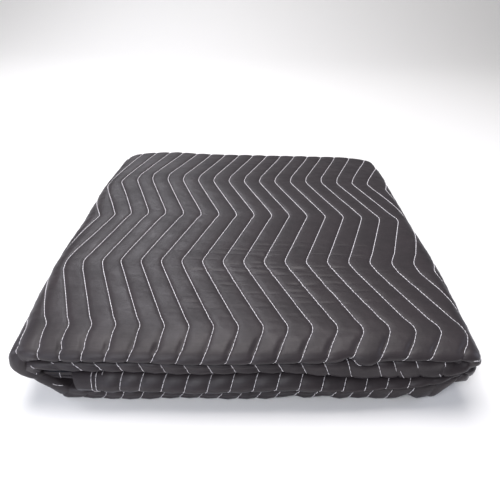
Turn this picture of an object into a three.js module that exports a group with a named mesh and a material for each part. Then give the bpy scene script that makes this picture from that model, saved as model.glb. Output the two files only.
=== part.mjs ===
import * as THREE from 'three';

// A quilted blanket, folded to a flat stack that lies on z = 0. Sizes are in millimetres.
// One sheet is folded the same way in both directions: two edges to the middle, then in half.
// Front to back that gives a band of four plies, rolled at the front. Side to side it gives four bands,
// wrapped round the left side, with the two hemmed ends inside the wrap.

const stackWidth = 484;
const stackDepth = 506;
const plyPitch = 4.5;              // from one ply of the stack to the next
const pliesPerBand = 4;
const bandPitch = plyPitch * pliesPerBand;
const clothThickness = 3.7;        // between two seams
const bandThickness = (pliesPerBand - 1) * plyPitch + clothThickness;
const seamThickness = 1.4;         // where a seam pinches the cloth
const crown = 1.4;                 // how far the free top face swells between two seams

const seamPitch = 25.4;            // from one zigzag seam to the next
const zigzagPeriod = 233;          // front to back
const zigzagSwing = 45;            // side to side
const firstSeamX = -183.8;         // mean line of the leftmost seam on the flat of the top
const zigzagPhaseY = -214.8;       // where a seam lies furthest right
const shearFade = 55;              // the seams straighten over this much beside the rounded sides

const hemTuck = 70;                // degrees by which the upper hem curls down inside the wrap
const tuckSteps = 4;               // along that curl
const lowerHemInset = 4;           // from the wrap's centre to the lower hem
const depthHemInset = 3;           // from the front roll's centre to the two hems inside it

// The four runs of a fold, in the order in which the cloth takes them, with the level counted from the base.
// The steps are those of the turn after the run, in the band's fold and in the plies' fold.
const foldRuns = [
  { name: 'upper inner', level: 2, towardsFar: true, bandSteps: 7, plySteps: 3 },
  { name: 'top', level: 3, towardsFar: false, bandSteps: 10, plySteps: 6 },
  { name: 'base', level: 0, towardsFar: true, bandSteps: 7, plySteps: 3 },
  { name: 'lower inner', level: 1, towardsFar: false, bandSteps: 0, plySteps: 0 },
];

// How the stack has settled. Each row is one height: how far the left wrap has slid sideways, how far the
// right end has risen, and how far the front roll there stands forward.
const settling = [
  { z: 0, slide: 14, rise: 18, forward: -2 },
  { z: 9, slide: 24, rise: 18, forward: -1 },
  { z: 27, slide: 17, rise: 14, forward: 5 },
  { z: 45, slide: 2, rise: 8, forward: -2 },
  { z: 63, slide: -5, rise: 2, forward: 0 },
  { z: 72, slide: -8, rise: 0, forward: 0 },
];

// How far the joins between the front rolls ride up or down along the front.
const frontJoins = [
  { x: -240, lower: 4, middle: 3, upper: 2 },
  { x: -150, lower: 1, middle: 5, upper: 2 },
  { x: -60, lower: -2, middle: 2, upper: 2 },
  { x: 20, lower: 1, middle: 4, upper: 3 },
  { x: 110, lower: 3, middle: -2, upper: 1 },
  { x: 160, lower: 4, middle: 0, upper: 4 },
  { x: 240, lower: 5, middle: 4, upper: 4 },
];

// How far the two sides draw in towards the corners, from front to back. The rows in between lie on corners
// of the zigzag, where every ply has a row of points, so that all plies bend alike.
const frontReachY = zigzagPhaseY + zigzagPeriod / 2;
const backReachY = frontReachY + zigzagPeriod;
const sideInsets = [
  { y: -stackDepth / 2, left: 5, right: 10 },
  { y: frontReachY, left: 0, right: 0 },
  { y: backReachY, left: 8, right: 0 },
  { y: stackDepth / 2, left: 18, right: 6 },
];

const slideStart = 30;             // from the left end inwards, where the wrap's slide begins to fade
const slideReach = 150;            // and where it ends
const riseStartX = 150;            // where the right end begins to rise
const riseSteps = 6;               // along a run of the fold
const cornerReach = 70;            // the corners are rounded in plan over this much
const cornerSetback = 6;
const backRightDrop = 0.06;        // share of its height that the back right corner has lost

const clothColor = 0x3a3637;

const { smoothstep, clamp, degToRad, lerp, mapLinear } = THREE.MathUtils;

// Reads a column of a table at a value of its key column, in a straight line from row to row.
function readTable(table, key, column, at) {
  const next = table.findIndex((row) => row[key] > at);
  if (next === 0) return table[0][column];
  if (next < 0) return table[table.length - 1][column];
  const [a, b] = [table[next - 1], table[next]];
  return mapLinear(at, a[key], b[key], a[column], b[column]);
}

// Sideways place of a zigzag seam, from its mean line.
function zigzag(y) {
  const turns = (y - zigzagPhaseY) / zigzagPeriod;
  const share = turns - Math.floor(turns);
  return zigzagSwing * (Math.abs(share - 0.5) * 2 - 0.5);
}

// Stops of a run side to side: its ends, the places where the front's joins bend, and even steps up the rise.
function bandStops(from, to) {
  const low = Math.min(from, to);
  const high = Math.max(from, to);
  const bends = frontJoins.map((row) => row.x).filter((x) => x > low && x < riseStartX);
  const rise = Array.from({ length: riseSteps + 1 }, (_, i) => lerp(riseStartX, high, i / riseSteps));
  const stops = [low, ...bends, ...rise];
  return from < to ? stops : stops.reverse();
}

// Stops of the top run across the seams: its ends, each seam, and the crest between two seams.
function seamStops(from, to) {
  const low = Math.min(from, to);
  const high = Math.max(from, to);
  const seamCount = Math.floor((high - firstSeamX) / seamPitch);
  const inner = Array.from({ length: 2 * seamCount - 1 }, (_, i) => firstSeamX + (i * seamPitch) / 2);
  return [low, ...inner, high].reverse();
}

// Stops of the top run along the seams: its ends and each corner of the zigzag.
function cornerStops(from, to) {
  const half = zigzagPeriod / 2;
  const count = Math.floor((from - zigzagPhaseY) / half) + 1;
  const inner = Array.from({ length: count }, (_, i) => zigzagPhaseY + i * half);
  return [to, ...inner, from].reverse();
}

// The cross-section of a fold as stations on the middle of what is folded. Along runs from near to far,
// across runs up the levels, and each station has its outward normal. A turn's share runs from 0 to 1.
function foldCourse({ near, far, hems, pitch, baseLevel, stops, turnSteps, tuck }) {
  const stations = [];
  const heights = foldRuns.map((run) => baseLevel + run.level * pitch);

  if (tuck > 0) {
    const radius = pitch / 2;
    for (let i = 0; i < tuckSteps; i += 1) {
      const angle = degToRad(tuck) * (1 - i / tuckSteps);
      stations.push({
        along: hems[0] - radius * Math.sin(angle),
        across: heights[0] - radius + radius * Math.cos(angle),
        normalAlong: Math.sin(angle),
        normalAcross: -Math.cos(angle),
        run: foldRuns[0].name,
        towardsFar: true,
      });
    }
  }

  foldRuns.forEach((run, index) => {
    const { towardsFar } = run;
    const ends = towardsFar ? [near, far] : [far, near];
    if (index === 0) ends[0] = hems[0];
    if (index === foldRuns.length - 1) ends[1] = hems[1];
    const level = {
      across: heights[index],
      normalAlong: 0,
      normalAcross: towardsFar ? -1 : 1,
      run: run.name,
      towardsFar,
    };
    stations.push(...stops(run, ...ends).map((along) => ({ along, ...level })));
    const steps = turnSteps(run);
    const radius = Math.abs(heights[index + 1] - heights[index]) / 2;
    const centre = (heights[index + 1] + heights[index]) / 2;
    const side = towardsFar ? 1 : -1;
    for (let i = 1; i < steps; i += 1) {
      const angle = (Math.PI * i) / steps;
      const normalAlong = side * Math.sin(angle);
      const turnAcross = -side * Math.cos(angle);
      stations.push({
        along: ends[1] + radius * normalAlong,
        across: centre + radius * turnAcross,
        normalAlong,
        normalAcross: turnAcross,
        run: 'turn',
        after: run.name,
        share: i / steps,
        towardsFar,
      });
    }
  });
  return stations;
}

// Side to side: the middle of a band of four plies.
function bandCourse() {
  const near = -stackWidth / 2 + 2 * bandPitch;
  return foldCourse({
    near,
    far: stackWidth / 2 - bandPitch,
    hems: [near, near + lowerHemInset],
    pitch: bandPitch,
    baseLevel: bandThickness / 2,
    stops: (run, from, to) => (run.name === 'top' ? seamStops : bandStops)(from, to),
    turnSteps: (run) => run.bandSteps,
    tuck: hemTuck,
  });
}

// Front to back: the middle of the cloth, measured from the middle of its band.
function plyCourse() {
  const near = -stackDepth / 2 + bandThickness / 2;
  return foldCourse({
    near,
    far: stackDepth / 2 - (plyPitch + clothThickness) / 2,
    hems: [near + depthHemInset, near + depthHemInset],
    pitch: plyPitch,
    baseLevel: (clothThickness - bandThickness) / 2,
    stops: (run, from, to) => {
      if (run.name === 'top') return cornerStops(from, to);
      const inner = [frontReachY, backReachY];
      return [from, ...(run.towardsFar ? inner : inner.reverse()), to];
    },
    turnSteps: (run) => run.plySteps,
    tuck: 0,
  });
}

// How far a ply lies open to view: fully on the top ply, less round its two turns, not at all inside.
function openness(ply) {
  if (ply.run === 'top') return 1;
  if (ply.run !== 'turn') return 0;
  if (ply.after === 'top') return 1 - ply.share;
  return ply.after === 'upper inner' ? ply.share : 0;
}

// A seam column is one on which a seam runs.
function isSeam(band) {
  const seams = (band.along - firstSeamX) / seamPitch;
  const tolerance = 0.01;
  return band.run === 'top' && Math.abs(seams - Math.round(seams)) < tolerance;
}

// Half the thickness of the cloth on one side of its middle.
function halfThickness(band, ply, outside) {
  const plain = clothThickness / 2;
  if (band.run !== 'top') return plain;
  const open = openness(ply);
  const quilted = isSeam(band) ? seamThickness / 2 : plain + (outside ? crown : 0);
  return lerp(plain, quilted, open);
}

// A point on the outer or the inner face of the regular fold.
function foldedPoint(band, ply, outside, shear) {
  const half = halfThickness(band, ply, outside) * (outside ? 1 : -1);
  const y = ply.along + ply.normalAlong * half;
  const fromBand = ply.across + ply.normalAcross * half;
  const x = band.along + band.normalAlong * fromBand + shear;
  return new THREE.Vector3(x, y, band.across + band.normalAcross * fromBand);
}

// The seams' sideways swing, which moves the columns of the top band's open ply.
function seamShear(band, ply, top) {
  if (band.run !== 'top') return 0;
  const inset = Math.min(band.along - top.low, top.high - band.along);
  return zigzag(ply.along) * openness(ply) * smoothstep(inset, 0, shearFade);
}

// The unevenness of the settled stack. Every move is smooth, so plies that lie apart stay apart.
function settle(point) {
  const { y, z } = point;
  const leftSide = 1 - smoothstep(point.x, -stackWidth / 2, 0);
  const rightSide = smoothstep(point.x, 0, stackWidth / 2);
  const leftInset = readTable(sideInsets, 'y', 'left', y) * leftSide;
  const x = point.x + leftInset - readTable(sideInsets, 'y', 'right', y) * rightSide;
  const left = 1 - smoothstep(x, -stackWidth / 2 + slideStart, -stackWidth / 2 + slideReach);
  const right = smoothstep(x, riseStartX, stackWidth / 2);
  const front = clamp((frontReachY - y) / (frontReachY + stackDepth / 2), 0, 1);
  const back = clamp((y - frontReachY) / (stackDepth / 2 - frontReachY), 0, 1);
  const end = smoothstep(Math.abs(x), stackWidth / 2 - cornerReach, stackWidth / 2);

  const joins = [
    { z: 0, move: 0 },
    { z: bandPitch, move: readTable(frontJoins, 'x', 'lower', x) },
    { z: 2 * bandPitch, move: readTable(frontJoins, 'x', 'middle', x) },
    { z: 3 * bandPitch, move: readTable(frontJoins, 'x', 'upper', x) },
    { z: 4 * bandPitch, move: 0 },
  ];
  const slide = readTable(settling, 'z', 'slide', z) * left;
  const rise = readTable(settling, 'z', 'rise', z) * right;
  const forward = readTable(settling, 'z', 'forward', z) * (1 - end);
  const tilt = 1 - backRightDrop * back * (0.5 + x / stackWidth);
  return new THREE.Vector3(
    x + slide,
    y - forward * front + cornerSetback * end * (front - back),
    (z + readTable(joins, 'z', 'move', z) * front) * tilt + rise,
  );
}

// The closed skin of the folded sheet: its outer face, its inner face and the four hemmed edges.
function blanketGeometry() {
  const bands = bandCourse();
  const plies = plyCourse();
  const topRun = bands.filter((band) => band.run === 'top').map((band) => band.along);
  const top = { low: Math.min(...topRun), high: Math.max(...topRun) };
  const positions = [];
  for (const outside of [true, false]) {
    for (const band of bands) {
      for (const ply of plies) {
        const point = settle(foldedPoint(band, ply, outside, seamShear(band, ply, top)));
        positions.push(...point.toArray());
      }
    }
  }

  const rows = plies.length;
  const faceSize = bands.length * rows;
  const outer = (column, row) => column * rows + row;
  const inner = (column, row) => faceSize + outer(column, row);
  const indices = [];
  const quad = (a, b, c, d) => indices.push(a, b, c, a, c, d);
  for (let i = 0; i + 1 < bands.length; i += 1) {
    for (let j = 0; j + 1 < rows; j += 1) {
      const upper = [outer(i, j), outer(i + 1, j), outer(i + 1, j + 1), outer(i, j + 1)];
      const lower = [inner(i, j + 1), inner(i + 1, j + 1), inner(i + 1, j), inner(i, j)];
      // All plies are split along the same diagonal in space, so that they bend alike.
      if (bands[i].towardsFar !== plies[j].towardsFar) {
        upper.push(upper.shift());
      } else {
        lower.push(lower.shift());
      }
      quad(...upper);
      quad(...lower);
    }
    quad(outer(i, 0), inner(i, 0), inner(i + 1, 0), outer(i + 1, 0));
    quad(outer(i, rows - 1), outer(i + 1, rows - 1), inner(i + 1, rows - 1), inner(i, rows - 1));
  }
  const last = bands.length - 1;
  for (let j = 0; j + 1 < rows; j += 1) {
    quad(outer(0, j), outer(0, j + 1), inner(0, j + 1), inner(0, j));
    quad(outer(last, j), inner(last, j), inner(last, j + 1), outer(last, j + 1));
  }

  const geometry = new THREE.BufferGeometry();
  geometry.setAttribute('position', new THREE.Float32BufferAttribute(positions, 3));
  geometry.setIndex(indices);
  geometry.computeVertexNormals();
  return geometry;
}

const cloth = new THREE.MeshStandardMaterial({ color: clothColor, roughness: 0.85, metalness: 0 });
const blanket = new THREE.Mesh(blanketGeometry(), cloth);
blanket.name = 'blanket';

// The origin is the middle of the stack's footprint, on the surface that it lies on.
blanket.geometry.computeBoundingBox();
const { min, max } = blanket.geometry.boundingBox;
blanket.position.set(-(min.x + max.x) / 2, -(min.y + max.y) / 2, -min.z);

const foldedBlanket = new THREE.Group();
foldedBlanket.add(blanket);

export default foldedBlanket;
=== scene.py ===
import math

import bpy
import numpy as np
from mathutils import Matrix, Vector


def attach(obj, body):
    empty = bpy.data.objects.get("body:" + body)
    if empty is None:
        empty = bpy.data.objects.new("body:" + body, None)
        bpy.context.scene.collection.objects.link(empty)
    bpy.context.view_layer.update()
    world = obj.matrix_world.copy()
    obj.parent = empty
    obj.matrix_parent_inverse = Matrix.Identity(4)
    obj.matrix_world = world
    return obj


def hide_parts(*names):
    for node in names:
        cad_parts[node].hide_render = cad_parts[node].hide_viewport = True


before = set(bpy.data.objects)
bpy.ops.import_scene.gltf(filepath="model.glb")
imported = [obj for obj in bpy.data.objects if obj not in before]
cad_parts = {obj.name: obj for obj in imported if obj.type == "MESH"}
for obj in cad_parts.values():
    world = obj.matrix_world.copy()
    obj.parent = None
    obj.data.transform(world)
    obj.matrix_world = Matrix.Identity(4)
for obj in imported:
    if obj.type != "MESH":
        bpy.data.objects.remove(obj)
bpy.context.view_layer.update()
metresPerMillimetre = 0.001


def hexToLinear(colour):
    channels = [int(colour[i:i + 2], 16) / 255 for i in (1, 3, 5)]
    return (*[c / 12.92 if c <= 0.04045 else ((c + 0.055) / 1.055) ** 2.4 for c in channels], 1.0)


# Settings and links go by a socket's name or number, settings also by the name of a property
def addNode(tree, kind, settings=None, links=None):
    node = tree.nodes.new(kind)
    for key, value in (settings or {}).items():
        if isinstance(key, int) or key in node.inputs:
            node.inputs[key].default_value = value
        else:
            setattr(node, key, value)
    for key, source in (links or {}).items():
        tree.links.new(source, node.inputs[key])
    return node


def smoothstep(value, low, high):
    share = np.clip((value - low) / (high - low), 0.0, 1.0)
    return share * share * (3.0 - 2.0 * share)


# Rises from 0 to 1 over the first span and falls again over the second
def between(value, rise, fall):
    return smoothstep(value, *rise) * (1 - smoothstep(value, *fall))


# Falls from 1 at the centre to 0 a width away, evenly if the power is 1
def hat(value, centre, width, power=1):
    return np.clip(1 - np.abs(value - centre) / width, 0, 1) ** power


# Reads one column of a table of rows, bending smoothly from row to row
def readTable(rows, column, at):
    keys = np.array([row[0] for row in rows], float)
    values = np.array([row[column] for row in rows], float)
    slopes = np.gradient(values, keys)
    at = np.clip(at, keys[0], keys[-1])
    i = np.clip(np.searchsorted(keys, at) - 1, 0, len(keys) - 2)
    span = keys[i + 1] - keys[i]
    u = (at - keys[i]) / span
    a, b = values[i], values[i + 1]
    return (a * (1 + 2 * u) * (1 - u) ** 2 + b * u * u * (3 - 2 * u)
            + span * (slopes[i] * u * (1 - u) ** 2 - slopes[i + 1] * u * u * (1 - u)))


# Smooth lattice noise from -1 to 1, the same on every run
def noise(u, v, seed):
    size = 64
    lattice = np.random.default_rng(seed).uniform(-1, 1, (size, size))
    i, j = np.floor(u).astype(int), np.floor(v).astype(int)
    fu, fv = u - i, v - j
    fu, fv = fu * fu * (3 - 2 * fu), fv * fv * (3 - 2 * fv)
    near, far = [lattice[i % size, (j + k) % size] * (1 - fu) + lattice[(i + 1) % size, (j + k) % size] * fu
                 for k in (0, 1)]
    return near * (1 - fv) + far * fv


# Noise by its grain across and along the seams, its amount and its seed
def grain(p, t, row):
    across, along, amount, seed = row
    return amount * noise(p / across, t / along, seed)


# The blanket's fold, in millimetres. Side to side the sheet is a band of four plies folded four high,
# front to back it is a ply folded four high, each time in the order upper inner, top, base, lower inner.
fold = {
    "width": 484.0,
    "depth": 506.0,
    "plyPitch": 4.5,
    "cloth": 3.7,
    "tuck": 112.0,             # degrees by which the upper hem curls down inside the wrap
    "upperHemReach": 11.0,
    "lowerHemInset": 19.0,
    "innerHemReach": 40.0,     # how far the hem of the inner plies stands out beside the lower inner run
    "innerHemBand": 60.0,      # it does so over this much of the band
    "innerHemPly": (15, 110),  # and fades between these lengths from the front hem
    "innerHemForward": 1.5,
    "innerHemLift": 4.8,
    "innerHemSwell": 1.2,
    "depthHemInset": 3.0,
    "centre": (-1.34, 2.30),   # puts the origin in the middle of the footprint
}
bandPitch = 4 * fold["plyPitch"]
bandThickness = 3 * fold["plyPitch"] + fold["cloth"]
halfBand = bandThickness / 2
halfCloth = fold["cloth"] / 2
halfWidth, halfDepth = fold["width"] / 2, fold["depth"] / 2
runLevels = (2, 3, 0, 1)       # heights of the runs, in the order above


# A fold as straight runs and turns, each with the length of its outer face. Bend is 0 for a run, 1 for
# a turn round its own centre and -1 for the tuck. Length 0 is where the top run starts.
def makeCourse(near, far, hems, pitch, baseLevel, outer, tuck=0.0):
    heights = [baseLevel + level * pitch for level in runLevels]
    parts = []
    at = 0.0
    if tuck:
        angle = math.radians(tuck)
        parts.append(dict(start=at, end=at + angle * pitch / 2, bend=-1, along=hems[0],
                          across=heights[0] - pitch / 2, side=1, radius=pitch / 2, angle=angle))
        at = parts[-1]["end"]
    for i, height in enumerate(heights):
        side = 1 if i % 2 == 0 else -1
        begin, stop = (near, far) if side > 0 else (far, near)
        begin = hems[0] if i == 0 else begin
        stop = hems[1] if i == 3 else stop
        parts.append(dict(start=at, end=at + abs(stop - begin), bend=0, along=begin,
                          across=height, side=side))
        at = parts[-1]["end"]
        if i < 3:
            radius = abs(heights[i + 1] - height) / 2
            parts.append(dict(start=at, end=at + math.pi * (radius + outer), bend=1, along=stop,
                              across=(heights[i + 1] + height) / 2, side=side, radius=radius,
                              angle=math.pi))
            at = parts[-1]["end"]
    zero = parts[-5]["start"]  # the top run
    for part in parts:
        part["start"] -= zero
        part["end"] -= zero
    return parts


# Place and outward normal on the middle line of a fold
def walkCourse(parts, length):
    length = np.maximum(length, parts[0]["start"])
    along, across, normalAlong, normalAcross = [np.zeros_like(length) for _ in range(4)]
    for part in parts:
        here = (length >= part["start"]) & ((length <= part["end"]) | (part is parts[-1]))
        done = length[here] - part["start"]
        if part["bend"] == 0:
            along[here] = part["along"] + part["side"] * done
            across[here] = part["across"]
            normalAlong[here] = 0.0
            normalAcross[here] = -part["side"]
            continue
        angle = part["angle"] * done / (part["end"] - part["start"])
        if part["bend"] < 0:
            angle = part["angle"] - angle
        normalAlong[here] = part["side"] * np.sin(angle)
        normalAcross[here] = -part["side"] * np.cos(angle)
        along[here] = part["along"] + part["bend"] * part["radius"] * normalAlong[here]
        across[here] = part["across"] + part["bend"] * part["radius"] * normalAcross[here]
    return along, across, normalAlong, normalAcross


bandNear, bandFar = -halfWidth + 2 * bandPitch, halfWidth - bandPitch
bandHems = (bandNear - fold["upperHemReach"], bandNear + fold["lowerHemInset"])
bandParts = makeCourse(bandNear, bandFar, bandHems, bandPitch, halfBand, halfBand, fold["tuck"])
plyNear, plyFar = -halfDepth + halfBand, halfDepth - (fold["plyPitch"] + fold["cloth"]) / 2
plyHem = plyNear + fold["depthHemInset"]
plyParts = makeCourse(plyNear, plyFar, (plyHem, plyHem), fold["plyPitch"], halfCloth - halfBand, halfCloth)
tuckEnd, upperInner, upperTurn, topRun, wrap, baseRun, lowerTurn, lowerInner = [
    (part["start"], part["end"]) for part in bandParts]
innerPly, backTurn, topPly, roll, underPly, lowerBackTurn, lastPly = [
    (part["start"], part["end"]) for part in plyParts]

# How the stack has settled, as in the solid but bending smoothly. Rows start with the place they hold for.
settled = {
    "heights": [          # z, slide of the left wrap, rise of the right end
        (0, 18, 18), (9, 25, 18), (27, 17, 14), (45, 2, 8), (63, -5, 1), (72, -8, -1)],
    "joins": [            # x, rise at the front: underside, lower join, middle join, upper join
        (-242, 0, 2, 0, 2), (-230, 0, 1.5, 0, 2), (-215, 0, 1, 7.5, 2), (-190, 0, -2, 9, 2),
        (-168, 0, -3, 9, 2), (-150, 0, -2.5, 9, 2), (-105, 0, -2.5, 7, 2), (-60, 0, -4, 4.5, 0),
        (0, 0, -2, 6.5, 0.5), (30, 0, -0.5, 7, 1), (50, 4.5, 0, 7, 2), (65, 0.5, 0, 4.5, 2),
        (83, 5, 0.5, 2, 3), (92, 0, 1, 1, 4), (98, 0, 1, 0, 6), (110, 0, 1.5, -1.5, 0.8),
        (122, 0, 3, -1.5, 0.8), (131, 0, 4, -1.5, 3), (155, 0, 5, -1.5, 4), (166, 6, 5, -1, 5),
        (176, -1, 5, -0.5, 5), (185, -3, 5, -1, 5), (198, -3, 5, -2, 4), (204, 5, 6, -2, 3),
        (212, 11, 7, -1, 2), (222, 10, 8, 0, 0), (231, -2, 9, 2, -3), (242, 0, 10, 4, -5)],
    "rolls": [            # x, how far the front rolls stand forward: base, lower inner, upper inner, top
        (-242, -4.5, -4.5, -5, -5), (-228, -4.5, -4.5, -1, -4.5), (-214, -4.5, -4, 0, -4),
        (-205, -4.2, 3, -1.5, -3), (-192, -4, 7, -2.5, -1.5), (-168, -3, 9, -2, 0),
        (-120, -1.5, 7.5, -2, 0.5), (-70, -3.8, 9, -2.5, 2.5), (-10, -1.7, 9, -2.5, 2.5),
        (30, -3.5, 8.5, -2.5, 1.5), (60, -3, 8.5, -2, 1), (80, -3.2, 8.5, -2, 0.5), (90, -3, 8, -2, -1),
        (98, -3, 8, -2, -4), (110, -4, 8, -2, 1.5), (122, -4, 7, -2, 2.2), (131, -3.5, 6, -2, -1.5),
        (160, -2, 5, -2, -1), (190, -0.5, 3, -2.5, 0), (202, -1.5, 1, -3, 0), (214, -3.2, -3, -2.5, 0),
        (222, -4.5, -5, -2, 0), (230, -5.2, -5.5, -3, 0), (236, -5.6, -6, -5, 0), (242, -6, -6, -8, 0)],
    "dents": [            # x and z, half width and half height, depth of hollows in the front
        (211, 52, 6, 5, 15), (208, 36, 34, 5, -6)],
    "back": [             # x, how far the back edge stands out
        (-242, -40), (-215, -27), (-200, -19), (-185, -8), (-165, 0), (-130, 5), (-80, 1), (-40, 0),
        (150, 0), (200, -2), (225, -10), (242, -18)],
    "sides": [            # y, how far the left and right sides draw in
        (-253, 6, 8), (-215, 4.5, 6), (-176, 2.5, 3.5), (-98.3, 0, 0), (37, 5.5, 0), (134.7, 7, -1.5),
        (212, 14, -3), (253, 18, 0)],
    "shoulder": [         # y, how the top swells and then rounds off towards the front
        (-256, -3.5), (-246, -2.2), (-238, -0.8), (-228, 0.6), (-216, 1.4), (-200, 1.3), (-170, 0.5),
        (-140, 0), (0, 0)],
    "shoulderLevels": (2.6, 4),     # it comes in between these heights, in bands
    "shoulderEnds": (0.8, 0.97),    # and goes out between these shares of half the width
    "frontReach": -98.3,
    "slideReach": (30, 150),
    "riseStart": 150,
    "backRightDrop": 0.06,
}


# How far the sides' draw-in and the wrap's slide carry a point to the right
def sideways(x, y, z):
    inset = (readTable(settled["sides"], 1, y) * (1 - smoothstep(x, -halfWidth, 0))
             - readTable(settled["sides"], 2, y) * smoothstep(x, 0, halfWidth))
    left = 1 - smoothstep(x + inset + halfWidth, *settled["slideReach"])
    return inset, readTable(settled["heights"], 1, z) * left


def settle(x, y, z, free):
    inset, slide = sideways(x, y, z)
    x = x + inset
    right = smoothstep(x, settled["riseStart"], halfWidth)
    reach = settled["frontReach"]
    front = np.clip((reach - y) / (reach + halfDepth), 0, 1)
    back = np.clip((y - reach) / (halfDepth - reach), 0, 1)
    lift, forward = [
        sum(hat(z / bandPitch, i + offset, 1) * readTable(settled[table], i + 1, x) for i in range(4))
        for table, offset in (("joins", 0), ("rolls", 0.5))]
    for place, level, wide, high, depth in settled["dents"]:
        forward = forward - depth * np.exp(-((x - place) / wide) ** 2 - ((z - level) / high) ** 2)
    forward = forward * (1 - free) + fold["innerHemForward"] * free
    lift = lift * (1 - free) + fold["innerHemLift"] * free
    shoulder = readTable(settled["shoulder"], 1, y) * smoothstep(z / bandPitch, *settled["shoulderLevels"])
    shoulder = shoulder * (1 - smoothstep(np.abs(x) / halfWidth, *settled["shoulderEnds"]))
    tilt = 1 - settled["backRightDrop"] * back * (0.5 + x / fold["width"])
    height = (z + lift * front + shoulder) * tilt + readTable(settled["heights"], 2, z) * right
    return np.stack([
        x + slide + fold["centre"][0],
        y - forward * front + readTable(settled["back"], 1, x) * back + fold["centre"][1],
        np.maximum(height, 0),
    ], axis=-1)


# A point of the cloth from its length s along the band fold, its length t along the ply fold and its
# height above the middle of the cloth. Free is 1 where the inner plies stand out of the stack.
def clothPoint(s, t, height, free=0.0):
    y, fromBand, normalY, normalBand = walkCourse(plyParts, t)
    y, fromBand = y + normalY * height, fromBand + normalBand * height
    x, z, normalX, normalZ = walkCourse(bandParts, s)
    return settle(x + normalX * fromBand, y, z + normalZ * fromBand, free)


# The zigzag quilting, in millimetres. Seams lie nearly even across the sheet, a little closer where the
# inner plies bunch up and uneven where the upper inner roll shows.
quilting = {
    "firstSeam": -483.4,
    "seamRuns": [            # number of seams, pitch
        (2, 21.6), (4, 22.0), (6, 23.6), (2, 24.0), (1, 32.0), (1, 17.0), (1, 23.0), (1, 38.0), (2, 27.05),
        (17, 25.4), (6, 26.03), (2, 26.2), (1, 23.1), (12, 20.2), (8, 22.7), (14, 23.1)],
    "period": 233.0,
    "swing": 45.06,
    "driftAt": (-261, -236, -211, -185, -134, -58, 56, 96, 121, 146, 171, 196, 221),  # x for the next table
    "drift": [               # y, how far the seams on the top lie to the right of their even places
        (-262, 72, 41, 23.5, 16.5, 11.5, 6.6, -0.4, 1, 1, 2, 0, 6, 6),
        (-244, 65, 35, 20, 14, 11, 6.6, -0.4, 0.5, 4, 4, 2.5, 6, 6),
        (-237, 56.5, 29, 14.5, 10.5, 9, 5.5, 0, 1, 5.5, 6, 4.5, 9, 9),
        (-223, 44, 20, 9.5, 6, 4.5, 3, 2, 3.5, 6, 7, 7.5, 10, 10),
        (-202, 28.5, 13.5, 6, 3, 1.5, 0, 0, 0, 1, 1.5, 2, 3.5, 3.5),
        (-118, 24, 15, 8, 3.5, 1, -1, -1, 0, 0.7, 1.5, 1.5, 1.5, 2.5),
        (-97, 25, 18, 13, 6, 0, -1.2, -1.5, 0, 1, 2.1, 3.3, 5.4, 8.5),
        (-76, 26, 19, 9.5, 4.5, -1.5, -1.5, -2, 0, 1.2, 2.7, 4.5, 7.5, 10.5),
        (8, 13, 11.5, 2, -2.5, -5.5, -4, -3, -1, 0, 1.5, 2.7, 4, 5.5),
        (29, 11, 10, 1, -1, -1.5, -1, -1, 0, 0.7, 1.5, 0.7, 0, 1),
        (134, 6, 10, 8, 4, 2, 1.5, 0.5, 1.6, 2.3, 3, 3, 3, 3),
        (155, 4, 6, 4, 2, -5, -3, -2, -1.8, -1.7, -1.5, 0.5, 2.5, 2.5),
        (230, 1, 0.5, 0, 0, -2.5, 0, 2, 1.8, 1.6, 1.5, 3.5, 5.5, 5.5)],
    "driftSpan": (           # lengths along the band fold over which the drift comes in and goes out
        (upperTurn[0] - 40, topRun[0] + 20), (topRun[1] - 20, baseRun[0])),
    "wrapReach": 20.0,       # seams draw in with the side up to this far round the wrap
    "phase": -214.6,         # y at which a seam lies furthest right
    "roundness": 0.993,      # 1 would leave the zigzag's corners sharp
    "slip": 72.0,            # the upper inner band has slipped by this much
    "slipFade": 40.0,
    "hemFade": 28.0,         # the swing fades this close to a hem
    "swellSpans": [          # lengths along the band fold over which the swell comes in and goes out
        ((upperTurn[0] - 15, upperTurn[0] + 15), (wrap[1] - 30, wrap[1] + 5)),
        ((lowerTurn[0] - 5, lowerTurn[0] + 20), (lowerTurn[1] - 15, lowerTurn[1]))],
    "rollFade": 8.0,         # the swell of the top goes out over this much of the roll
    "rollPower": 0.7,
    "crown": 0.62,           # how far the cloth swells between two seams
    "rollCrown": 0.95,
    "crownPower": 2.3,       # a higher one swells flatter
    "uneven": [(31, 57, 0.22, 3), (12, 17, 0.12, 4)],  # grain across and along the seams, amount, seed
    "wrinkle": (8.0, 6.0, 0.30, 5),
    "ripple": (20, 11, 0.22, 6),
    "pinch": 0.95,           # height of the outer face at a seam
    "seamWidth": 1.9,
    "seamPower": 1.3,
    "crease": 1.15,          # depth of the fine cross creases on the middle of the top
    "creaseGrain": (38, 4.6, 1.0, 7),
    "creaseStart": 900.0,    # picks the stretch of noise
    "creaseLean": 0.04,
    "creaseEdges": (0.1, 0.8),       # noise between these turns into creases
    "creaseAlong": (375, 85, 0.5),   # middle, half length and power along the ply fold
    "creaseAcross": (190, 180, 0.6),
    "gather": 2.2,           # how far seams draw in the cloth beside them towards the rolled front
    "gatherAlong": (493, 17),        # middle and half length along the ply fold
    "gatherBoth": (0.2, 4.5),        # share and width on both sides of a seam
    "gatherOne": (2.2, 1.6),         # place and width of the deeper fold on one side
    "raggedMean": 1.1,
    "ragged": (9, 5.5, 0.8, 8),
}
seamCounts, seamPitches = zip(*quilting["seamRuns"])
seams = quilting["firstSeam"] + np.concatenate([[0], np.cumsum(np.repeat(seamPitches, seamCounts))])


# How much each place in a row of places counts at a value between them
def shares(at, places):
    index = np.interp(at, places, np.arange(len(places)))
    return [hat(index, i, 1) for i in range(len(places))]


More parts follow.
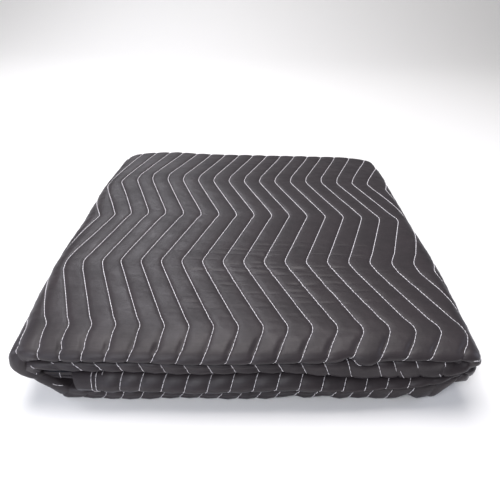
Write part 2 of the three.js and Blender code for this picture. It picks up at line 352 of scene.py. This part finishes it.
# Sideways swing of the seams: s = p - swing, where p is the same all along a seam
def swing(p, t):
    y = plyFar - t
    slip = quilting["slip"] * (1 - smoothstep(p, upperInner[1] - quilting["slipFade"], upperTurn[1]))
    turns = (y + slip - quilting["phase"]) / quilting["period"]
    wave = np.arcsin(quilting["roundness"] * np.cos(2 * np.pi * turns)) / np.pi
    fade = quilting["hemFade"]
    wave *= between(p, (tuckEnd[0], tuckEnd[0] + fade), (lowerInner[1] - fade, lowerInner[1]))
    # On the top the seams run evenly, though the sides draw in
    mean = bandFar - p
    x = np.clip(mean + quilting["swing"] * wave, bandNear - quilting["wrapReach"], halfWidth)
    carried = sum(sideways(x, np.clip(y, plyNear, plyFar), np.full_like(x, 4 * bandPitch)))
    places, *columns = np.transpose(quilting["drift"])
    weights = shares(mean, quilting["driftAt"])
    drift = sum(np.interp(y, places, column) * weight for column, weight in zip(columns, weights))
    return quilting["swing"] * wave + (drift - carried) * between(p, *quilting["driftSpan"])


# Near the front the inner plies stand out past the hem of the lower inner run
def reachOut(p, t):
    fromHem = np.minimum(np.abs(t - innerPly[0]), np.abs(lastPly[1] - t))
    onBand = smoothstep(p, lowerInner[1] - fold["innerHemBand"], lowerInner[1])
    return onBand * (1 - smoothstep(fromHem, *fold["innerHemPly"]))


# How far the outer face is free to swell on the open runs and on the roll, from 0 to 1
def freedom(s, t):
    openBand = sum(between(s, *span) for span in quilting["swellSpans"])
    openPly = between(t, backTurn, (roll[0], roll[0] + quilting["rollFade"]))
    onRoll = np.sin(np.pi * np.clip((t - roll[0]) / (roll[1] - roll[0]), 0, 1))
    return openBand * openPly, np.clip(onRoll, 0, 1) ** quilting["rollPower"]


# Height of the outer face above the middle of the cloth
def outerHeight(p, s, t):
    i = np.clip(np.searchsorted(seams, p, side="right") - 1, 0, len(seams) - 2)
    width = seams[i + 1] - seams[i]
    u = np.clip((p - seams[i]) / width, 0, 1)
    distance = np.minimum(u, 1 - u) * width
    puff = 1 - np.abs(2 * u - 1) ** quilting["crownPower"]
    rise = 1 - np.exp(-(distance / quilting["seamWidth"]) ** quilting["seamPower"])
    openTop, onRoll = freedom(s, t)
    uneven = 1 + sum(grain(p, t, row) for row in quilting["uneven"])
    crown = np.maximum(openTop * quilting["crown"], onRoll * quilting["rollCrown"]) * uneven
    wrinkle = grain(p, t, quilting["wrinkle"]) * puff + grain(p, t, quilting["ripple"])
    # Fine cross creases, which an earlier fold has left
    line = grain(s + quilting["creaseStart"], t + quilting["creaseLean"] * s, quilting["creaseGrain"])
    middle = hat(t, *quilting["creaseAlong"]) * hat(s, *quilting["creaseAcross"])
    creases = -quilting["crease"] * smoothstep(line, *quilting["creaseEdges"]) * middle
    # Gathers beside the seams
    bothShare, bothWidth = quilting["gatherBoth"]
    onePlace, oneWidth = quilting["gatherOne"]
    beside = bothShare * np.exp(-(distance / bothWidth) ** 2)
    beside += np.exp(-((u * width - onePlace) / oneWidth) ** 2)
    ragged = quilting["raggedMean"] + grain(p, t, quilting["ragged"])
    gather = quilting["gather"] * beside * ragged * hat(t, *quilting["gatherAlong"]) * openTop
    seam = quilting["pinch"] + (halfCloth - quilting["pinch"]) * rise
    return seam + crown * puff + np.maximum(openTop, onRoll) * (wrinkle + creases) - gather


# Points along the sheet, in millimetres. Columns follow the seams, so that every groove stays crisp.
blanketMesh = {
    "fineShares": (0, 0.035, 0.10, 0.19, 0.34, 0.52, 0.72, 0.88, 0.965),
    "plainShares": (0, 0.10, 0.5, 0.90),
    "rowsPerSwing": 40,
    "rowsPastCorner": 11,
    "creasedRows": (300, 480),  # twice as many rows between these lengths
    "plainEvery": 19,
    "plainEnds": (8, 26),       # hidden runs have all the rows this close to the top's back and front
    "rollRows": 12,
    "turnRows": 5,
    "underRows": (4, 10, 20, 40, 80, 160, 320),
    "lastUnderRow": 30,
    "hemRows": (0, 2, 6, 15, 40, 75, 110, 240, 480),
}


# Lengths p across the sheet, and which of them show
def columnPlaces():
    places, fine = [tuckEnd[0], (tuckEnd[0] + seams[0]) / 2], [False, False]
    for left, right in zip(seams[:-1], seams[1:]):
        shows = (right > upperTurn[0] and left < wrap[1]) or (right > lowerTurn[0] and left < lowerTurn[1])
        for share in blanketMesh["fineShares" if shows else "plainShares"]:
            places.append(left + share * (right - left))
            fine.append(shows)
    return np.array(places + [seams[-1], lowerInner[1]]), np.array(fine + [False, False])


# Lengths t along the sheet, for columns that show and for plain ones
def rowPlaces():
    firstCorner = plyFar - quilting["phase"]
    step = quilting["period"] / 2 / blanketMesh["rowsPerSwing"]
    fine = firstCorner - step * np.arange(int(firstCorner / step) + 1)
    past = firstCorner + step * np.arange(1, blanketMesh["rowsPastCorner"] + 1)
    fine = np.concatenate([past, fine])
    creasedFrom, creasedTo = blanketMesh["creasedRows"]
    creased = fine[(fine > creasedFrom) & (fine < creasedTo)] + step / 2
    fine = np.concatenate([fine, creased])
    fine = np.sort(fine[(fine > 1) & (fine < topPly[1] - 1)])
    isPlain = np.abs(((fine - firstCorner) / step) % blanketMesh["plainEvery"]) < 0.5
    backEnd, frontEnd = blanketMesh["plainEnds"]
    isPlain |= (fine > topPly[1] - frontEnd) | (fine < backEnd)
    rollRows = np.linspace(*roll, blanketMesh["rollRows"] + 1)
    turnRows = blanketMesh["turnRows"] + 1
    back, lowerBack = [np.linspace(*turn, turnRows) for turn in (backTurn, lowerBackTurn)]
    under = [roll[1] + row for row in blanketMesh["underRows"]]
    under.append(underPly[1] - blanketMesh["lastUnderRow"])
    fromHem = np.array(blanketMesh["hemRows"])
    inner, last = innerPly[0] + fromHem, lastPly[1] - fromHem
    plain = np.concatenate([inner, back, fine[isPlain], rollRows, under, lowerBack, last])
    return np.sort(np.concatenate([plain, fine[~isPlain]])), np.sort(plain)


# Triangles between two lines of points, each given with its places along the same length
def zipLines(first, firstPlaces, second, secondPlaces, turned):
    triangles = []
    i = j = 0
    while i + 1 < len(first) or j + 1 < len(second):
        if j + 1 == len(second) or (i + 1 < len(first) and firstPlaces[i + 1] <= secondPlaces[j + 1]):
            triangles.append((first[i], first[i + 1], second[j]))
            i += 1
        else:
            triangles.append((first[i], second[j + 1], second[j]))
            j += 1
    return [(a, c, b) for a, b, c in triangles] if turned else triangles


# Faces between two lines of equally many points
def joinLines(first, second, turned):
    corners = [first[:-1], first[1:], second[1:], second[:-1]]
    if turned:
        corners = corners[:1] + corners[:0:-1]
    return np.stack(corners, axis=-1).tolist()


# A line with the same p all along: its p, its lengths along the band fold and how far it stands out
def sheetLine(p, t):
    p = np.full_like(t, p)
    free = reachOut(p, t)
    return p, p - swing(p, t) + fold["innerHemReach"] * free, free


def buildBlanket():
    columns, fineColumn = columnPlaces()
    fineRows, plainRows = rowPlaces()
    innerColumns = np.concatenate([[columns[0]], seams, [columns[-1]]])
    rows = [fineRows if fine else plainRows for fine in fineColumn]
    innerRows = [plainRows] * len(innerColumns)
    points, cloth, outer, inner = [], [], [], []
    count = 0
    for lines, places, lineRows in ((outer, columns, rows), (inner, innerColumns, innerRows)):
        for place, t in zip(places, lineRows):
            p, s, free = sheetLine(place, t)
            height = np.full_like(t, -halfCloth)
            if lines is outer:
                height = outerHeight(p, s, t) + fold["innerHemSwell"] * free
            points.append(clothPoint(s, t, height, free))
            cloth.append(np.stack([s, t], axis=-1))
            lines.append(np.arange(count, count + len(t)))
            count += len(t)

    faces = []
    for i, (a, b) in enumerate(zip(outer[:-1], outer[1:])):
        if fineColumn[i] == fineColumn[i + 1]:
            faces += joinLines(a, b, True)
        else:
            faces += zipLines(a, rows[i], b, rows[i + 1], True)
    for a, b in zip(inner[:-1], inner[1:]):
        faces += joinLines(a, b, False)
    # The four hemmed edges
    faces += joinLines(outer[0], inner[0], False)
    faces += joinLines(outer[-1], inner[-1], True)
    for end, turned in ((0, False), (-1, True)):
        outerEnd, innerEnd = [[line[end] for line in lines] for lines in (outer, inner)]
        faces += zipLines(outerEnd, columns, innerEnd, innerColumns, turned)
    return makeMesh("quilted_blanket", np.concatenate(points), faces, np.concatenate(cloth))


# A mesh from points in millimetres, with the cloth's own lengths in metres as its map
def makeMesh(name, points, faces, cloth=None):
    mesh = bpy.data.meshes.new(name)
    mesh.from_pydata((points * metresPerMillimetre).tolist(), [], faces)
    mesh.polygons.foreach_set("use_smooth", np.ones(len(mesh.polygons), bool))
    if cloth is not None:
        loops = np.zeros(len(mesh.loops), int)
        mesh.loops.foreach_get("vertex_index", loops)
        clothMap = mesh.uv_layers.new(name="clothMap")
        clothMap.data.foreach_set("uv", (cloth[loops] * metresPerMillimetre).ravel())
    mesh.validate()
    mesh.update()
    piece = bpy.data.objects.new(name, mesh)
    bpy.context.scene.collection.objects.link(piece)
    return piece


def countTriangles(piece):
    return sum(len(face.vertices) - 2 for face in piece.data.polygons)


blanket = buildBlanket()
print("blanket:", len(blanket.data.vertices), "points,", countTriangles(blanket), "triangles")


# White thread in millimetres, one small bowed strand for each stitch
thread = {
    "pitch": 5.2,
    "stitch": 5.0,
    "radius": [              # y, radius; real thread is about 0.25, drawn thicker to show further back
        (-250, 0.26), (-150, 0.38), (250, 0.49)],
    "foldScale": 1.1,        # strands round the folds are thicker by this much
    "hemScale": 1.0,
    "sides": 5,
    "rings": (               # share of the stitch, share of the radius, height
        (0.0, 0.5, -0.30), (0.12, 0.9, 0.10), (0.5, 1.0, 0.25), (0.88, 0.9, 0.10), (1.0, 0.5, -0.30)),
    "lift": 0.12,            # of all strands above the cloth
    "looseLift": 0.35,
    "roundHemLift": 1.0,
    "topRun": (upperTurn[0] - 25, wrap[1] + 8, backTurn[0], roll[1] + 6),
    "foldRuns": [            # stitched lengths: from and to along the band fold, then along the ply fold
        (wrap[0], wrap[1], roll[1] + 6, roll[1] + 90),
        (upperInner[0] + 40, upperTurn[0] - 25, roll[0] - 6, roll[1] + 6),
        (wrap[1] + 8, lowerTurn[1] + 20, backTurn[0], roll[1] + 6),
        (lowerTurn[1] + 20, lowerInner[1] - 24, roll[0] - 6, roll[1] + 6),
        (tuckEnd[0] + 5, upperTurn[0] - 25, backTurn[0] - 3, backTurn[1] + 3),
        (lowerTurn[1] + 20, lowerInner[1] - 24, backTurn[0] - 3, backTurn[1] + 3),
        (tuckEnd[0] + 5, lowerInner[1] - 24, lowerBackTurn[0] - 3, lowerBackTurn[1] + 3)],
    "sunk": [                # where seams are buried in creases, in the same order
        (475, 500, roll[0] + 8, roll[1] + 90), (500, 575, roll[0] - 6, roll[1] + 90),
        (-60, -10, roll[0] - 6, roll[1] + 6), (20, 30, roll[0] + 5, roll[1] + 6),
        (-120, -105, roll[0] - 6, roll[0] + 13), (-95, -85, roll[0] - 6, roll[0] + 13),
        (940, 1085, roll[0] - 6, roll[1] + 6), (1400, 1420, roll[0] + 5, roll[1] + 6)],
    "lowerHemRows": (16.5, 20.5),                   # from the lower hem
    "lowerHemSpan": (roll[0] - 30, roll[1] + 6),
    "loose": [               # single stitches beside a crease, by s and the length t past the roll's start
        [(-494.4, 17.5), (-494.4, 15), (-492.9, 13.5)],
        [(-513.0, 13.5), (-511.8, 11.5)],
        [(-474.5, 20.7), (-471.5, 19.3)],
        [(511.0, 17.5), (515.5, 18.4), (521, 20.5), (526.0, 23)],
        [(117.0, 13.5), (113.5, 18), (109.0, 17)],
        [(-6.0, 12.5), (-14.0, 9)],
        [(-122.0, 15), (-115.5, 7.5)],
        [(-81.0, 10), (-78.5, 7)],
        [(-76.5, 22.5), (-75.0, 14)]],
    "roundHem": [            # a stitch round the inner plies' hem, by p, t and the height
        (1426, innerPly[0] + 1.5, -halfCloth), (1426, innerPly[0], -halfCloth), (1427.2, innerPly[0], 1.0),
        (1417, lastPly[1], 1.0), (1418.7, lastPly[1], -halfCloth)],
}


# Path over the outer face in space, with the outward normal
def facePath(s, t, height):
    step = 0.5
    alongS = clothPoint(s + step, t, height) - clothPoint(s - step, t, height)
    alongT = clothPoint(s, t + step, height) - clothPoint(s, t - step, height)
    normal = np.cross(alongS, alongT)
    size = np.linalg.norm(normal, axis=1, keepdims=True)
    return clothPoint(s, t, height), normal / np.maximum(size, 1e-9)


# Path along a seam, or a row beside a hem, between two lengths
def seamPath(place, start, end):
    t = np.arange(start, end, 1.0)
    p = np.full_like(t, place)
    s = p - swing(p, t)
    return facePath(s, t, outerHeight(p, s, t))


# Path of a single stitch through a few places
def loosePath(places):
    along = np.linspace(0, len(places) - 1, 12)
    s, past = [np.interp(along, np.arange(len(places)), column) for column in np.transpose(places)]
    t = roll[0] + past
    p = s
    for _ in range(4):
        p = s + swing(p, t)
    return facePath(s, t, outerHeight(p, s, t) + thread["looseLift"])


# Path round the front hem of the inner plies, where they stand out
def hemPath(places):
    place, t, height = np.transpose(places)
    p, s, free = sheetLine(place, t)
    normal = np.tile([0.0, -1.0, 0.0], (len(p), 1))
    return clothPoint(s, t, height, free) + thread["roundHemLift"] * normal, normal


# Stitches at an even pitch, or a single one if the path is short
def stitchesAlong(path, normal, scale):
    length = np.concatenate([[0], np.cumsum(np.linalg.norm(np.diff(path, axis=0), axis=1))])
    count = max(1, int(length[-1] / thread["pitch"]))
    pitch = min(thread["pitch"], length[-1])
    starts = (np.arange(count) + 0.5 * (length[-1] / pitch - count)) * pitch
    rings = np.array(thread["rings"])
    at = (starts[:, None] + rings[None, :, 0] * thread["stitch"] * pitch / thread["pitch"]).ravel()
    place, before, after, up = [
        np.stack([np.interp(at + step, length, column) for column in line.T], axis=-1)
        for line, step in ((path, 0), (path, -0.5), (path, 0.5), (normal, 0))]
    side = np.cross(after - before, up)
    side /= np.linalg.norm(side, axis=1, keepdims=True)
    up /= np.linalg.norm(up, axis=1, keepdims=True)
    radius = np.tile(rings[:, 1], count) * readTable(thread["radius"], 1, place[:, 1]) * scale
    place = place + up * (np.tile(rings[:, 2], count) + thread["lift"])[:, None]
    sides = thread["sides"]
    angles = 2 * np.pi * np.arange(sides) / sides
    around = np.cos(angles)[:, None] * side[:, None] + np.sin(angles)[:, None] * up[:, None]
    points = (place[:, None] + radius[:, None, None] * around).reshape(-1, 3)
    points[:, 2] = np.maximum(points[:, 2], 0)
    lastRing = (len(rings) - 1) * sides
    faces = []
    for base in range(0, len(points), lastRing + sides):
        for ring in range(base, base + lastRing, sides):
            for j in range(sides):
                a, b = ring + j, ring + (j + 1) % sides
                faces.append((a, a + sides, b + sides, b))
        faces.append(tuple(base + j for j in range(sides)))
        faces.append(tuple(base + lastRing + j for j in reversed(range(sides))))
    return points, faces


def buildThread(name, groups):
    points, faces, count = [], [], 0
    for paths, scale in groups:
        for path, normal in paths:
            more, moreFaces = stitchesAlong(path, normal, scale)
            points.append(more)
            faces += [tuple(v + count for v in face) for face in moreFaces]
            count += len(more)
    return makeMesh(name, np.concatenate(points), faces)


# Paths of the seams in one row of the tables above, as far as they aren't sunk
def seamPaths(low, high, start, end):
    paths = []
    for p in seams[(seams > low) & (seams < high)]:
        first, last = start, end
        for fromP, toP, fromT, toT in thread["sunk"]:
            if fromP < p < toP and first < toT and last > fromT:
                first, last = (first, fromT) if first < fromT else (toT, last)
        if last - first > thread["pitch"]:
            paths.append(seamPath(p, first, last))
    return paths


hemPaths = [seamPath(lowerInner[1] - inset, *thread["lowerHemSpan"]) for inset in thread["lowerHemRows"]]
hemPaths += [loosePath(places) for places in thread["loose"]] + [hemPath(thread["roundHem"])]
foldPaths = [path for run in thread["foldRuns"] for path in seamPaths(*run)]
topThread = buildThread("seam_thread_top", [(seamPaths(*thread["topRun"]), 1.0)])
foldThread = buildThread("seam_thread_folds", [
    (hemPaths, thread["hemScale"]), (foldPaths, thread["foldScale"])])
for piece in (topThread, foldThread):
    print(piece.name + ":", countTriangles(piece), "triangles")


# Scale of a diagonal wave texture with its bands a pitch in millimetres apart
def waveScale(pitch):
    return 2 * math.pi / (10 * math.sqrt(2) * pitch * metresPerMillimetre)


# Scale of a noise texture with its grain in millimetres
def noiseScale(size):
    return 1 / (size * metresPerMillimetre)


# Brushed woven polyester, dyed black: a soft satin bloom, faint streaks along the weave, mottled paler
clothLook = {
    "dark": "#282325",
    "pale": "#373133",
    "paleRange": (0.45, 0.90),     # of the mottling and streaks
    "specular": 0.34,
    "ior": 1.5,
    "roughness": 0.48,
    "roughnessSpread": 0.08,
    "sheen": 0.04,
    "sheenRoughness": 0.4,
    "sheenTint": "#b9c6dd",
    "mottle": 38.0,                # millimetres
    "streak": (16.667, 1.1111),    # millimetres, long and wide; real threads, 0.4 apart, don't show
    "streakShare": 0.35,
    "ripple": 14.22,               # millimetres between ribs; coarser than the 1.6 that was meant
    "rippleRelief": {"Strength": 0.12, "Distance": 0.0004},
    "fluff": 7.0,                  # millimetres
    "fluffRelief": {"Strength": 0.25, "Distance": 0.0012},
}


def makeCloth():
    material = bpy.data.materials.new("black polyester, woven and brushed")
    material.use_nodes = True
    tree = material.node_tree
    shader = tree.nodes["Principled BSDF"]
    shader.inputs["Sheen Weight"].default_value = clothLook["sheen"]
    shader.inputs["Sheen Roughness"].default_value = clothLook["sheenRoughness"]
    shader.inputs["Sheen Tint"].default_value = hexToLinear(clothLook["sheenTint"])
    shader.inputs["IOR"].default_value = clothLook["ior"]
    shader.inputs["Specular IOR Level"].default_value = clothLook["specular"]
    place = addNode(tree, "ShaderNodeUVMap", {"uv_map": "clothMap"}).outputs["UV"]
    mottle = addNode(tree, "ShaderNodeTexNoise", {
        "Scale": noiseScale(clothLook["mottle"]), "Detail": 5.0, "Roughness": 0.6}, {"Vector": place})
    streakScale = (*[noiseScale(size) for size in clothLook["streak"]], 1.0)
    drawn = addNode(tree, "ShaderNodeMapping", {"Scale": streakScale}, {"Vector": place})
    streak = addNode(tree, "ShaderNodeTexNoise", {"Scale": 1.0, "Detail": 3.0},
                     {"Vector": drawn.outputs["Vector"]})
    blend = addNode(tree, "ShaderNodeMath", {"operation": "MULTIPLY_ADD", 1: clothLook["streakShare"]},
                    {0: streak.outputs["Fac"], 2: mottle.outputs["Fac"]})
    paleFrom, paleTo = clothLook["paleRange"]
    pale = addNode(tree, "ShaderNodeMapRange", {"From Min": paleFrom, "From Max": paleTo},
                   {"Value": blend.outputs[0]}).outputs["Result"]
    dark, light = hexToLinear(clothLook["dark"]), hexToLinear(clothLook["pale"])
    colour = addNode(tree, "ShaderNodeMix", {"data_type": "RGBA", 6: dark, 7: light}, {0: pale})
    tree.links.new(colour.outputs[2], shader.inputs["Base Color"])
    rough, spread = clothLook["roughness"], clothLook["roughnessSpread"]
    gloss = addNode(tree, "ShaderNodeMapRange", {"To Min": rough + spread, "To Max": rough - spread},
                    {"Value": pale})
    tree.links.new(gloss.outputs["Result"], shader.inputs["Roughness"])
    ripple = addNode(tree, "ShaderNodeTexWave", {
        "Scale": waveScale(clothLook["ripple"]), "Distortion": 1.5, "Detail": 1.0,
        "bands_direction": "DIAGONAL"}, {"Vector": place})
    ribs = addNode(tree, "ShaderNodeBump", clothLook["rippleRelief"], {"Height": ripple.outputs["Fac"]})
    fluff = addNode(tree, "ShaderNodeTexNoise", {"Scale": noiseScale(clothLook["fluff"]), "Detail": 3.0},
                    {"Vector": place})
    bump = addNode(tree, "ShaderNodeBump", clothLook["fluffRelief"],
                   {"Height": fluff.outputs["Fac"], "Normal": ribs.outputs["Normal"]})
    tree.links.new(bump.outputs["Normal"], shader.inputs["Normal"])
    return material


# Spun polyester thread, undyed: chalky white, with a little painted shade in slow bands along the twist of
# its strands, uneven from stitch to stitch
threadLook = {
    "white": "#fbf7f9",
    # painted shade: a greyer white that stands for the grooves between the twisted strands
    "paintedShade": "#e4dee2",
    "roughness": 0.6,
    "sheen": 0.15,
    "twist": 12.44,                # millimetres between turns; coarser than the 1.4 that was meant
    "relief": {"Strength": 0.3, "Distance": 0.0003},
}


def makeThreadMaterial():
    material = bpy.data.materials.new("white polyester thread, spun and twisted")
    material.use_nodes = True
    tree = material.node_tree
    shader = tree.nodes["Principled BSDF"]
    shader.inputs["Roughness"].default_value = threadLook["roughness"]
    shader.inputs["Sheen Weight"].default_value = threadLook["sheen"]
    place = addNode(tree, "ShaderNodeTexCoord").outputs["Object"]
    wave = addNode(tree, "ShaderNodeTexWave", {
        "Scale": waveScale(threadLook["twist"]), "bands_direction": "DIAGONAL", "Distortion": 2.0},
        {"Vector": place}).outputs["Fac"]
    # Painted shade: the twist's wave mixes the white towards the greyer colour in bands along the thread
    paintedShade, white = hexToLinear(threadLook["paintedShade"]), hexToLinear(threadLook["white"])
    colour = addNode(tree, "ShaderNodeMix", {"data_type": "RGBA", 6: paintedShade, 7: white}, {0: wave})
    tree.links.new(colour.outputs[2], shader.inputs["Base Color"])
    bump = addNode(tree, "ShaderNodeBump", threadLook["relief"], {"Height": wave})
    tree.links.new(bump.outputs["Normal"], shader.inputs["Normal"])
    return material


clothMaterial, threadMaterial = makeCloth(), makeThreadMaterial()
blanket.data.materials.append(clothMaterial)
for piece in (topThread, foldThread):
    piece.data.materials.append(threadMaterial)

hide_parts("blanket")
for piece in (blanket, topThread, foldThread):
    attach(piece, "root")
print("materials and frame: done")


# Pale floor that curves up into a backdrop, and soft light, in metres and watts
studio = {
    "floor": "#f8f7f5",
    "floorRoughness": 0.7,
    "floorSize": 6.0,
    "floorFront": -3.0,
    "floorBend": 1.4,        # y at which it starts to curve up
    "bendRadius": 1.0,
    "bendAngle": 1.0,        # radians
    "bendSteps": 10,
    "world": "#f4f6fa",
    "worldStrength": 0.148,
    "lights": [              # name, place, target, size, power, colour
        ("overhead", (-0.15, 0.4, 2.3), (0, 0, 0), (1.9, 1.2), 45, "#fffcfc"),
        ("back_left", (-0.5, 1.4, 1.5), (-0.1, -0.1, 0.05), (0.4, 1.2), 13, "#f6f8ff"),
        ("front_top", (-0.35, -1.0, 1.0), (-0.1, -0.3, 0.05), (0.5, 0.4), 7.6, "#f6f8ff"),
        ("front_left", (-0.55, -0.85, 0.25), (-0.1, -0.25, 0.03), (0.4, 0.3), 1.5, "#e4ecff"),
        ("right", (1.05, -0.2, 0.4), (0.2, -0.2, 0.03), (0.5, 0.4), 2.6, "#e4eaff"),
        ("left", (-1.05, -0.1, 0.45), (-0.2, -0.2, 0.03), (0.5, 0.4), 3.0, "#ecf0ff")],
}


def makeFloor():
    bend, radius = studio["floorBend"], studio["bendRadius"]
    profile = [(studio["floorFront"], 0.0), (bend, 0.0)]
    for step in range(1, studio["bendSteps"] + 1):
        angle = studio["bendAngle"] * step / studio["bendSteps"]
        profile.append((bend + radius * math.sin(angle), radius - radius * math.cos(angle)))
    points, faces = [], []
    for i, (y, z) in enumerate(profile):
        points += [(-studio["floorSize"] / 2, y, z), (studio["floorSize"] / 2, y, z)]
        if i:
            faces.append((2 * i - 2, 2 * i - 1, 2 * i + 1, 2 * i))
    floor = makeMesh("floor", np.array(points) / metresPerMillimetre, faces)
    # Matt board: an even white that takes a soft shadow
    material = bpy.data.materials.new("matt white board")
    material.use_nodes = True
    shader = material.node_tree.nodes["Principled BSDF"]
    shader.inputs["Base Color"].default_value = hexToLinear(studio["floor"])
    shader.inputs["Roughness"].default_value = studio["floorRoughness"]
    floor.data.materials.append(material)


def makeLight(name, place, target, size, power, colour):
    data = bpy.data.lights.new(name, "AREA")
    data.shape = "RECTANGLE"
    data.size, data.size_y = size
    data.energy = power
    data.color = hexToLinear(colour)[:3]
    light = bpy.data.objects.new(name, data)
    light.location = place
    light.rotation_euler = (Vector(target) - Vector(place)).to_track_quat("-Z", "Y").to_euler()
    bpy.context.scene.collection.objects.link(light)


makeFloor()
for row in studio["lights"]:
    makeLight(*row)
world = bpy.data.worlds.new("studio")
bpy.context.scene.world = world
world.use_nodes = True
background = world.node_tree.nodes["Background"]
background.inputs["Color"].default_value = hexToLinear(studio["world"])
background.inputs["Strength"].default_value = studio["worldStrength"]
bpy.context.scene.view_settings.view_transform = "Standard"
print("floor and", len(studio["lights"]), "lights: done")

# The camera stands where the photo was taken from
view = {
    "place": (-11.6, -560.7, 396.4),  # millimetres
    "pitch": 33.57957,       # degrees
    "yaw": 1.79538,
    "roll": -1.57751,
    "focal": 460.0,          # pixels
    "frameWidth": 500,
}


def makeCamera():
    pitch, yaw, turn = (math.radians(view[k]) for k in ("pitch", "yaw", "roll"))
    across = Vector((math.cos(yaw), -math.sin(yaw), 0))
    level = Vector((-math.sin(pitch) * math.sin(yaw), -math.sin(pitch) * math.cos(yaw), -math.cos(pitch)))
    forward = Vector((math.cos(pitch) * math.sin(yaw), math.cos(pitch) * math.cos(yaw), -math.sin(pitch)))
    right = math.cos(turn) * across + math.sin(turn) * level
    down = -math.sin(turn) * across + math.cos(turn) * level
    data = bpy.data.cameras.new("camera")
    data.sensor_width = 36.0
    data.lens = view["focal"] / view["frameWidth"] * data.sensor_width
    data.clip_start = 0.01
    camera = bpy.data.objects.new("camera", data)
    bpy.context.scene.collection.objects.link(camera)
    turned = Matrix((right, -down, -forward)).transposed().to_4x4()
    turned.translation = Vector(view["place"]) * metresPerMillimetre
    camera.matrix_world = turned
    bpy.context.scene.camera = camera


makeCamera()
print("camera: done")
